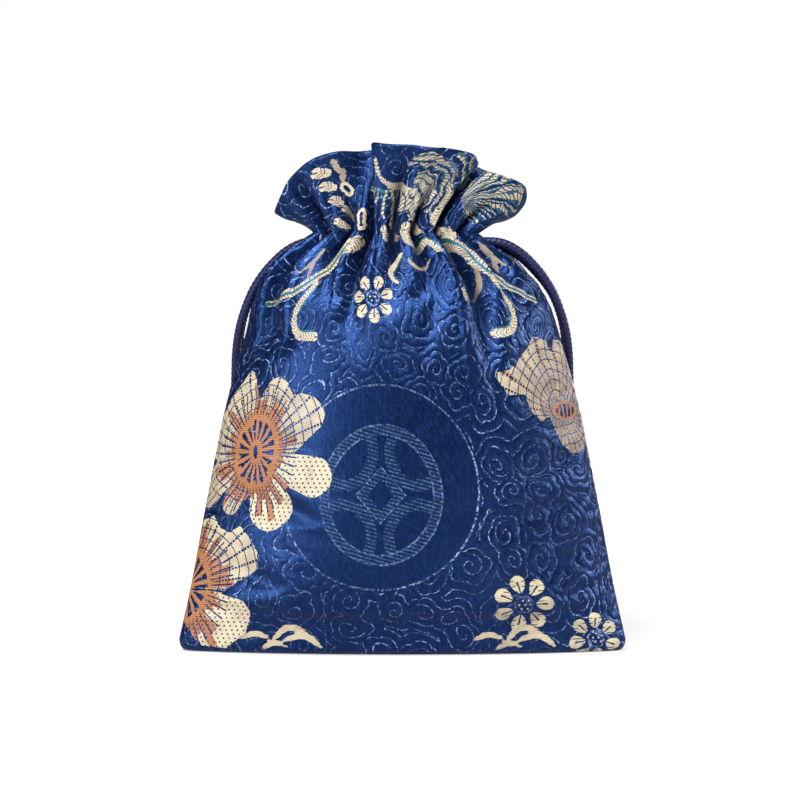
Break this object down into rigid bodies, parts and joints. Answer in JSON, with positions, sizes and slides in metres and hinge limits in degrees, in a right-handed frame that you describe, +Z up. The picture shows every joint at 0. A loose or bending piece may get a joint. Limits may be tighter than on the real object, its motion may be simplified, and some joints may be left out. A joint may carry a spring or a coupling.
{
  "type": "herbal sachet",
  "caption": "Filled brocade drawstring pouch drawn shut at the neck, with a gathered frill above, a flat seat and braided cords falling over the shoulders.",
  "frame": {"origin": "middle of the seat, on the surface the sachet stands on", "axes": "+Z up through the neck and frill, +X to the right seen from the front, the front faces -Y"},
  "size_m": [0.1118, 0.0416, 0.1267],
  "materials": {
    "brocade": "satin brocade with woven flowers and scrolls",
    "cord": "braided satin cord"
  },
  "bodies": {
    "root": {"pouch": "brocade", "left_drawstring": "cord", "right_drawstring": "cord"}
  },
  "joints": []
}
